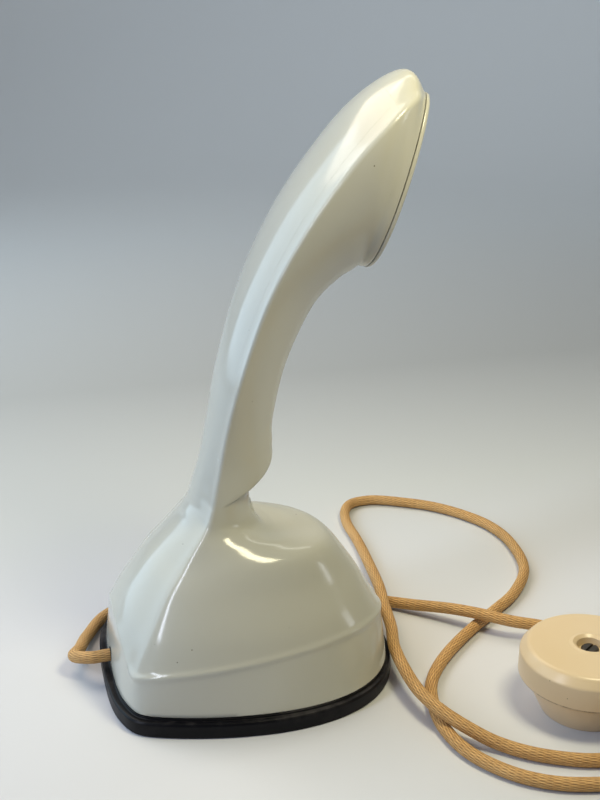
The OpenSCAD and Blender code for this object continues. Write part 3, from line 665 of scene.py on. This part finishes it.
def build_case():
    """The case's shell: its rim, its outside up to the seam, and its inner skin back down."""
    rings = []
    bottom, bottom_n = ROW_DATA[0]
    flat_n = unit(bottom_n * [1, 1, 0])
    for inset, z in RIM_STEPS:
        ring = bottom - flat_n * inset
        ring[:, 2] = z
        rings.append(ring)
    for u, (half, normal) in zip(ROWS, ROW_DATA):
        if u < 0.03:
            continue
        row = case_outer(u, half, normal)
        if 6 < u < 8.5:
            row = throat_slots(row, normal)
        rings.append(row)
    for u in INNER_ROWS:
        half, normal = surface(u, INNER_MORE_ROUND)
        rings.append(half - normal * WALL)
    whole = [whole_ring(r) for r in rings]
    points = np.vstack(whole) * MM
    faces = grid_faces(len(whole), COLS, wrap_rows=True)
    case = add_mesh("case_skin", points, faces, case_plastic)
    face_out(case)
    case.data.set_sharp_from_angle(angle=SHARP_ANGLE)
    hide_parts("case_shell")


def build_cover():
    """The thin strip glued into the back of the neck, its face a hair below the skin."""
    sunk, clear = 0.01, 0.05
    top, under = [], []
    for u, (half, normal) in zip(ROWS, ROW_DATA):
        if not COVER_ENDS[0] < u < COVER_ENDS[1]:
            continue
        strip = half[:COVER_COLS + 1].copy()
        strip[-1] -= unit(strip[-1] - strip[-2]) * SEAM_GAP
        for rows, depth in ((top, sunk), (under, COVER_DEPTH - clear)):
            row = strip - normal[:COVER_COLS + 1] * depth
            rows.append(np.vstack([row[:0:-1], row * [1, -1, 1]]))
    count, cols = len(top), len(top[0])
    base = count * cols
    faces = grid_faces(count, cols, wrap_cols=False)
    faces += grid_faces(count, cols, wrap_cols=False, start=base)
    rim = [(k * cols + j, (k + 1) * cols + j) for k in range(count - 1) for j in (0, cols - 1)]
    rim += [(k * cols + j, k * cols + j + 1) for k in (0, count - 1) for j in range(cols - 1)]
    faces += [(a, b, base + b, base + a) for a, b in rim]
    cover = add_mesh("back_strip", np.vstack(top + under) * MM, faces, case_plastic)
    face_out(cover)
    cover.data.set_sharp_from_angle(angle=SHARP_ANGLE)
    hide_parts("back_cover")


CAP_MIDDLE = np.array([58.5, 0, 196.5])
CAP_TILT = math.radians(107)
CAP_OUT = np.array([math.sin(CAP_TILT), 0, math.cos(CAP_TILT)])
SOUND_HOLE_R = 1.5
SOUND_RING_R = 6.5


def build_ear_cap():
    """The ear cap: a thin dished plate that follows the case's front rim, with sound holes."""
    seam = whole_ring(ROW_DATA[-1][0])
    # Its rings from the back over the edge to the front: size against the seam, and height.
    profile = [
        (0.02, -2.2), (0.3, -2.1), (0.5, -2.0), (0.7, -1.6), (0.84, 0.34), (0.97, 0.32), (0.996, 0.34),
        (1.002, 0.46), (1.005, 0.7), (1.004, 1.0), (0.999, 1.4), (0.99, 1.75), (0.977, 2.0),
        (0.96, 2.15), (0.94, 2.2), (0.9, 2.1), (0.8, 1.8), (0.68, 1.4), (0.58, 1.05), (0.54, 0.85),
        (0.51, 0.45), (0.49, 0.2), (0.46, 0.08), (0.4, 0.03), (0.3, 0.0), (0.2, 0.0), (0.1, 0.0), (0.02, 0.0),
    ]
    rings = [CAP_MIDDLE + s * (seam - CAP_MIDDLE) + h * CAP_OUT for s, h in profile]
    points = np.vstack(rings) * MM
    faces = grid_faces(len(rings), COLS)
    faces.append(tuple(range(COLS)))
    faces.append(tuple(range((len(rings) - 1) * COLS, len(rings) * COLS))[::-1])
    cap = add_mesh("ear_plate", points, faces, case_plastic)
    face_out(cap)
    angles = [math.radians(60 * k) for k in range(6)]
    places = [(SOUND_RING_R * math.cos(a), SOUND_RING_R * math.sin(a)) for a in angles] + [(0, 0)]
    holes, hole_faces = many_cylinders(places, SOUND_HOLE_R, -8, 8, 24)
    turn = Matrix.Rotation(CAP_TILT, 3, "Y")
    cut_out(cap, [turn @ Vector(p) + Vector(CAP_MIDDLE * MM) for p in holes], hole_faces)
    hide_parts("ear_cap")


# The share of its stand-off that the foot still has at the very front.
FRONT_LIP = 0.65


def plan_outline(d):
    """The case's bottom outline moved outward by d, and by less toward the front, in mm."""
    half, normal = ROW_DATA[0]
    forward = np.clip(half[:, :1] / half[:, 0].max(), 0, 1) if d > 0 else 0
    return whole_ring(half + unit(normal * [1, 1, 0]) * d * (1 - (1 - FRONT_LIP) * forward))[:, :2]


def build_foot():
    """The rubber foot: an outer lip that holds dust, a shallow groove, and the ledge the case sits on."""
    profile = rounded([
        (-6.0, 0.6), (-5.4, 0.0), (2.4, 0.0), (3.0, 0.7), (2.9, 5.3), (2.3, 6.15), (1.6, 6.2), (0.45, 6.0),
        (0.2, 6.3), (0.1, 6.95), (-5.4, 6.95), (-6.0, 6.3), (-6.0, 0.6),
    ], 0.35, 3)
    rings = []
    for d, z in profile[:-1]:
        flat = plan_outline(d)
        rings.append(np.column_stack([flat, np.full(len(flat), z)]))
    faces = grid_faces(len(rings), COLS, wrap_rows=True)
    foot = add_mesh("foot_rubber_ring", np.vstack(rings) * MM, faces, rubber)
    face_out(foot)
    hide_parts("foot_ring")


build_case()
build_cover()
build_ear_cap()
build_foot()

# ---------------------------------------------------------------- dial and button underneath

# Sizes in mm, the same as in part.scad.
STOP_ANGLE = -60
HOLE_RING = 29.5
FINGER_R = 6.5
WHEEL_LOW, WHEEL_HIGH = 2.6, 4.5
PLATE_LOW = 6.0


def hole_places():
    angles = [math.radians(STOP_ANGLE - 30 * k) for k in range(2, 12)]
    return [(HOLE_RING * math.cos(a), HOLE_RING * math.sin(a)) for a in angles]


def build_finger_wheel():
    """The finger wheel, a flat ring with ten holes."""
    corners = [
        (11, WHEEL_LOW), (38, WHEEL_LOW), (38, WHEEL_HIGH), (11, WHEEL_HIGH), (11, WHEEL_LOW)
    ]
    profile = rounded(corners, 0.45, 4)[:-1]
    points, faces = revolve([(r * MM, z * MM) for r, z in profile], steps=128)
    wheel = add_mesh("dial_wheel", points, faces, dial_plastic, body="dial", smooth=False)
    face_out(wheel)
    cut_out(wheel, *many_cylinders(hole_places(), FINGER_R, WHEEL_LOW - 1.6, WHEEL_HIGH + 1.5, 48))
    bevel_edges(wheel, 0.35 * MM)
    wheel.data.shade_smooth()
    wheel.data.set_sharp_from_angle(angle=math.radians(40))
    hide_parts("finger_wheel")


def build_button():
    """The red hook button, a cup over the stem's end."""
    corners = [(0, 0.05), (7.4, 0.05), (8.5, 1.1), (8.5, 6.8), (3.2, 6.8), (3.2, 2.2), (0, 2.2)]
    profile = rounded(corners, 0.7, 5)
    points, faces = revolve([(r * MM, z * MM) for r, z in profile], steps=64, closed=False)
    button = add_mesh("red_button", points, faces, button_plastic, body="plunger")
    face_out(button)
    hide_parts("hook_button")


def build_digits():
    """The digits under the finger holes, facing down."""
    height, relief = 7.5 * MM, 0.04 * MM
    for k, (x, y) in enumerate(hole_places()):
        value = (k + 1) % 10
        curve = bpy.data.curves.new(f"digit_{value}", "FONT")
        curve.body = str(value)
        curve.size = height
        curve.extrude = relief
        curve.align_x = "CENTER"
        curve.align_y = "CENTER"
        text = bpy.data.objects.new("text", curve)
        text.location = (x * MM, y * MM, PLATE_LOW * MM - relief)
        text.rotation_euler = (math.pi, 0, math.atan2(y, x) + math.pi / 2)
        bpy.context.scene.collection.objects.link(text)
        bpy.context.view_layer.update()
        mesh = bpy.data.meshes.new_from_object(text.evaluated_get(bpy.context.evaluated_depsgraph_get()))
        mesh.transform(text.matrix_world)
        mesh.materials.clear()
        mesh.materials.append(digit_ink.material)
        digit = bpy.data.objects.new(f"digit_{value}", mesh)
        bpy.context.scene.collection.objects.link(digit)
        bpy.data.objects.remove(text)
        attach(digit, "case")


build_finger_wheel()
build_button()
build_digits()

# ---------------------------------------------------------------- cord

# The cord's route, the same points as RUN_POINTS and TAIL_POINTS in part.scad, in metres.
RUN_POINTS = np.array([
    [-0.0454, 0, 0.0112], [-0.056, 0, 0.0112], [-0.063, 0.001, 0.0105], [-0.069, 0.008, 0.008],
    [-0.066, 0.018, 0.005], [-0.0615, 0.0315, 0.0028], [-0.051, 0.0475, 0.0026], [-0.028, 0.057, 0.0026],
    [0, 0.060, 0.0026], [0.028, 0.054, 0.0026], [0.0515, 0.0415, 0.0026], [0.064, 0.0305, 0.0026],
    [0.078, 0.019, 0.004], [0.092, 0.006, 0.007], [0.102, -0.004, 0.0084], [0.113, -0.013, 0.0082],
    [0.127, -0.019, 0.0065], [0.142, -0.029, 0.0035], [0.154, -0.044, 0.0026], [0.160, -0.062, 0.0026],
    [0.158, -0.082, 0.0026], [0.146, -0.095, 0.0026], [0.126, -0.101, 0.0026], [0.107, -0.1015, 0.0026],
    [0.089, -0.094, 0.0026], [0.076, -0.084, 0.0032], [0.066, -0.075, 0.0065], [0.0595, -0.0645, 0.0084],
    [0.0565, -0.052, 0.0086], [0.0558, -0.038, 0.0094], [0.057, -0.022, 0.0099], [0.0606, -0.008, 0.010],
    [0.0628, 0.004, 0.0098], [0.0646, 0.014, 0.0092], [0.0675, 0.027, 0.0083], [0.070, 0.041, 0.0066],
    [0.073, 0.060, 0.004], [0.075, 0.076, 0.0028], [0.076, 0.090, 0.0026], [0.0765, 0.106, 0.0026],
    [0.0795, 0.120, 0.0026], [0.086, 0.129, 0.0026], [0.098, 0.1305, 0.0026], [0.112, 0.124, 0.0026],
    [0.126, 0.1145, 0.0026], [0.138, 0.1005, 0.0026], [0.146, 0.084, 0.0026], [0.148, 0.064, 0.0026],
    [0.143, 0.039, 0.0026], [0.129, 0.019, 0.0026], [0.112, 0.005, 0.0026], [0.095, -0.008, 0.0026],
    [0.078, -0.024, 0.0026], [0.067, -0.039, 0.0026], [0.062, -0.054, 0.0026], [0.0605, -0.070, 0.0026],
    [0.064, -0.086, 0.0026], [0.074, -0.1005, 0.0026], [0.087, -0.1095, 0.0026], [0.104, -0.1145, 0.0026],
    [0.130, -0.121, 0.0026], [0.156, -0.128, 0.0026], [0.174, -0.134, 0.0026], [0.186, -0.1385, 0.0026],
])
TAIL_POINTS = np.array([
    [0.197, -0.0808, 0.0077], [0.187, -0.0795, 0.0078], [0.176, -0.0745, 0.008],
    [0.165, -0.0685, 0.0082], [0.152, -0.066, 0.008], [0.144, -0.066, 0.008],
])
COIL_MIDDLE = np.array([0.206, -0.112])
CORD_D = 0.005
# The coil: its turns' radii inward, its two layers' heights, and the angles where it starts
# and ends, in degrees. The last quarter of a turn eases into the next.
COIL_RADII = (0.031, 0.0259, 0.0208)
COIL_LOW, COIL_HIGH = 0.0026, 0.0077
COIL_START, COIL_END = 251, 90
COIL_EASE_FROM = 0.75


def catmull(points, steps):
    """Points along a smooth curve through given ones."""
    last = len(points) - 1
    return [smooth_row(points, min(i * last / steps, last - 1e-9), 0) for i in range(steps + 1)]


def coil_points():
    """Three turns inward on the table and three outward on top of them."""
    radii = COIL_RADII + COIL_RADII[::-1]
    heights = (COIL_LOW,) * 3 + (COIL_HIGH,) * 3
    last = len(radii) - 1
    total = 360 * last + (COIL_END - COIL_START) % 360
    out = []
    for a in range(0, total + 1, 10):
        k = min(a // 360, last)
        share = a / 360 - k
        r, z = radii[k], heights[k]
        if share > COIL_EASE_FROM and k < last:
            ease = (share - COIL_EASE_FROM) / (1 - COIL_EASE_FROM)
            ease = ease * ease * (3 - 2 * ease)
            r += (radii[k + 1] - r) * ease
            z += (heights[k + 1] - z) * ease
        t = math.radians(COIL_START + a)
        out.append([COIL_MIDDLE[0] + r * math.cos(t), COIL_MIDDLE[1] + r * math.sin(t), z])
    return out


def even_path(points, spacing):
    """Points at even steps along a line, and the line's length."""
    points = np.array(points)
    s = np.concatenate([[0], np.cumsum(np.linalg.norm(np.diff(points, axis=0), axis=1))])
    want = np.linspace(0, s[-1], int(s[-1] / spacing) + 1)
    return np.column_stack([np.interp(want, s, points[:, i]) for i in range(3)]), s[-1]


def build_cord():
    """The whole cord as one tube, with its length along the texture's second axis."""
    control = [*RUN_POINTS, *coil_points(), *TAIL_POINTS]
    line = catmull(np.array(control), (len(control) - 1) * 12)
    path, length = even_path(line, CORD_D / 4)
    sides = 14
    tangent = unit(np.gradient(path, axis=0))
    across = unit(np.cross(tangent, [0, 0, 1.0]))
    up = np.cross(across, tangent)
    points = []
    for k in range(len(path)):
        for j in range(sides):
            a = 2 * math.pi * j / sides
            points.append(path[k] + CORD_D / 2 * (math.cos(a) * across[k] + math.sin(a) * up[k]))
    faces = grid_faces(len(path), sides)
    uvs = []
    spacing = length / (len(path) - 1)
    for k in range(len(path) - 1):
        for j in range(sides):
            left, right = j / sides, (j + 1) / sides
            low, high = k * spacing, (k + 1) * spacing
            uvs += [(left, low), (right, low), (right, high), (left, high)]
    faces.append(tuple(range(sides))[::-1])
    faces.append(tuple(range((len(path) - 1) * sides, len(path) * sides)))
    uvs += [(0.5, 0)] * sides + [(0.5, length)] * sides
    cord = add_mesh("braided_cord", points, faces, braid, uvs=uvs)
    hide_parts("cord_run", "cord_coil", "cord_tail")
    return cord, path, length


def build_tie():
    """A rubber band round the coil's bundle, flat where it lies on the table."""
    inner, outer = 0.0183, 0.0337
    low, high = 0.0002, 0.0104
    mid_x, mid_z = (inner + outer) / 2, (low + high) / 2
    half_x, half_z = (outer - inner) / 2, (high - low) / 2
    sides = 40
    # Round the band's own section: place across its width, and height over the bundle.
    section_steps = (
        (-0.003, 0.0001), (-0.0026, 0.0007), (0.0026, 0.0007),
        (0.003, 0.0001), (0.0026, 0.0), (-0.0026, 0.0),
    )
    points = []
    for w, grow in section_steps:
        for k in range(sides):
            a = 2 * math.pi * k / sides
            c, s = math.cos(a), math.sin(a)
            sx = math.copysign(abs(c) ** 0.5, c) * (half_x + grow)
            sz = math.copysign(abs(s) ** 0.5, s) * (half_z + (grow if s > 0 else 0))
            points.append([COIL_MIDDLE[0] + mid_x + sx, COIL_MIDDLE[1] + w, mid_z + sz])
    faces = grid_faces(len(section_steps), sides, wrap_rows=True)
    tie = add_mesh("coil_band", points, faces, tie_black)
    face_out(tie)
    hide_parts("cord_tie")
    return tie


# ---------------------------------------------------------------- wall plug

PLUG = (0.120, -0.066, 0.0)
SLOT_TURN = math.radians(35)


def plug_piece(name, profile, look, steps=128, smooth=True):
    """A piece turned about the plug's axis from a (radius, z) profile in mm."""
    points, faces = revolve([(r * MM, z * MM) for r, z in profile], PLUG, steps, closed=False)
    piece = add_mesh(name, points, faces, look, smooth=smooth)
    face_out(piece)
    return piece


def build_plug_cover():
    """The plug's round cover: hollow below, with a raised rim round its screw hole."""
    profile = rounded([
        (0, 23.9, 0), (5.0, 23.9, 0.3), (5.2, 27.0, 0.3), (6.6, 28.0, 0.5), (8.0, 27.6, 0.8),
        (23.4, 27.2, 3.0), (26.4, 23.5, 2.0), (26.5, 14.8, 0.4), (26.1, 14.2, 0.3), (24.0, 14.2, 0.3),
        (24.0, 21.0, 0.5), (1.8, 21.0, 0), (1.8, 23.0, 0), (0, 23.0, 0),
    ], 0.5, 6)
    cover = plug_piece("plug_top", profile, plug_plastic)
    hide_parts("plug_cover")
    return cover


def build_plug_base():
    """The plug's tapered body, hollow below round the pins."""
    profile = rounded([
        (0, 9.5, 0), (19.9, 9.5, 0.5), (15.7, 0.5, 0.3), (16.1, 0.05, 0.2), (17.3, 0.05, 0.4),
        (17.7, 0.9, 0.5), (23.2, 11.9, 0.6), (24.0, 12.3, 0.4), (24.0, 13.45, 0.5), (6.0, 13.5, 0.3),
        (6.0, 20.9, 0.3), (0, 20.9, 0),
    ], 0.5, 5)
    base = plug_piece("plug_base", profile, plug_plastic)
    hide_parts("plug_body")
    return base


def build_plug_screw():
    """The slotted screw in the plug's middle."""
    profile = rounded([
        (0, 24.0, 0), (3.4, 24.0, 0.2), (3.4, 25.4, 0.4), (2.8, 26.0, 0.3), (0, 26.1, 0),
    ], 0.3, 4)
    screw = plug_piece("plug_slot_screw", profile, dark_screw, steps=48, smooth=False)
    corners = ((-0.004, -0.0005), (0.004, -0.0005), (0.004, 0.0005), (-0.004, 0.0005))
    turn = Matrix.Rotation(SLOT_TURN, 3, "Z")
    slot = [turn @ Vector((x, y, z)) + Vector(PLUG) for z in (0.0251, 0.028) for x, y in corners]
    faces = [(3, 2, 1, 0), (4, 5, 6, 7), (0, 1, 5, 4), (1, 2, 6, 5), (2, 3, 7, 6), (3, 0, 4, 7)]
    cut_out(screw, slot, faces)
    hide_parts("plug_screw")
    return screw


cord, cord_path, cord_length = build_cord()
tie = build_tie()
plug_pieces = [build_plug_cover(), build_plug_base(), build_plug_screw()]

# ---------------------------------------------------------------- stage and light


# The sweep's colour by distance behind the object, in metres: painted light and shade, lightest on the floor
# round the object, darker on the floor behind it, dark on the walls in front, and lighter and bluer toward
# the wall far behind.
SWEEP_PAINTED_LIGHT = (
    (-1.6, (0.10, 0.10, 0.11)), (-0.7, (0.20, 0.20, 0.20)), (-0.3, (0.64, 0.65, 0.69)),
    (0.05, (0.64, 0.65, 0.69)), (0.15, (0.59, 0.61, 0.61)), (0.35, (0.42, 0.44, 0.45)),
    (0.8, (0.52, 0.57, 0.62)), (1.8, (0.74, 0.80, 0.88)),
)


def build_stage():
    """A floor that sweeps up into a wall all round, with light and shade painted into its colour."""
    floor_r, bend_r, wall_top = 1.15, 0.7, 2.2
    profile = [(r, 0) for r in (0, 0.3, 0.6, 0.9, floor_r)]
    bend = np.linspace(0.1, math.pi / 2, 16)
    profile += [(floor_r + bend_r * math.sin(a), bend_r - bend_r * math.cos(a)) for a in bend]
    profile += [(floor_r + bend_r, wall_top)]
    points, faces = revolve(profile, steps=96, closed=False)
    m = Nodes("sweep")
    near, far = SWEEP_PAINTED_LIGHT[0][0], SWEEP_PAINTED_LIGHT[-1][0]
    depth = m.math("MULTIPLY_ADD", m.part(m.coords(), "Y"), 1 / (far - near), -near / (far - near))
    stops = [((y - near) / (far - near), shade) for y, shade in SWEEP_PAINTED_LIGHT]
    # Painted light and shade: the base colour follows the distance behind the object.
    m.link(m.ramp(depth, stops), m.shader.inputs["Base Color"])
    m.set(Roughness=0.85)
    mesh = bpy.data.meshes.new("sweep")
    mesh.from_pydata(points, [], faces)
    mesh.materials.append(m.material)
    mesh.shade_smooth()
    stage = bpy.data.objects.new("sweep", mesh)
    bpy.context.scene.collection.objects.link(stage)


def area_light(name, azimuth, elevation, distance, size, power, color, aim=(0.02, 0, 0.08)):
    """A rectangular lamp at a place given by its direction and distance from its aim."""
    data = bpy.data.lights.new(name, "AREA")
    data.shape = "RECTANGLE"
    data.size, data.size_y = size
    data.energy = power
    data.color = color
    a, e = math.radians(azimuth), math.radians(elevation)
    obj = bpy.data.objects.new(name, data)
    aim = Vector(aim)
    away = Vector((math.cos(e) * math.cos(a), math.cos(e) * math.sin(a), math.sin(e)))
    obj.location = aim + distance * away
    obj.rotation_euler = (aim - obj.location).to_track_quat("-Z", "Y").to_euler()
    bpy.context.scene.collection.objects.link(obj)


def build_lights():
    area_light("lamp", -40, 61, 0.40, (0.10, 0.14), 1.03, (1.0, 0.92, 0.62), (-0.01, -0.02, 0.06))
    area_light("window", 150, 22, 0.90, (0.80, 0.80), 5.2, (0.60, 0.82, 1.0))
    area_light("ridge", 200, 30, 0.90, (0.12, 0.50), 3.0, (0.79, 0.85, 1.0))
    area_light("back_top", 120, 55, 0.85, (0.50, 0.50), 3.4, (1.0, 0.86, 0.68))
    area_light("low_right", -12, 6, 0.9, (0.10, 0.16), 0.20, (0.9, 0.95, 1.0))
    area_light("backdrop", -90, 55, 1.3, (1.4, 0.4), 6.0, (1.0, 0.98, 0.90), (0.50, 1.5, 0.15))
    world = bpy.data.worlds.new("world")
    world.use_nodes = True
    world.node_tree.nodes["Background"].inputs["Color"].default_value = (0.86, 0.92, 1.0, 1)
    world.node_tree.nodes["Background"].inputs["Strength"].default_value = 0.01
    bpy.context.scene.world = world


build_stage()
build_lights()
view = bpy.context.scene.view_settings
view.view_transform = "Standard"
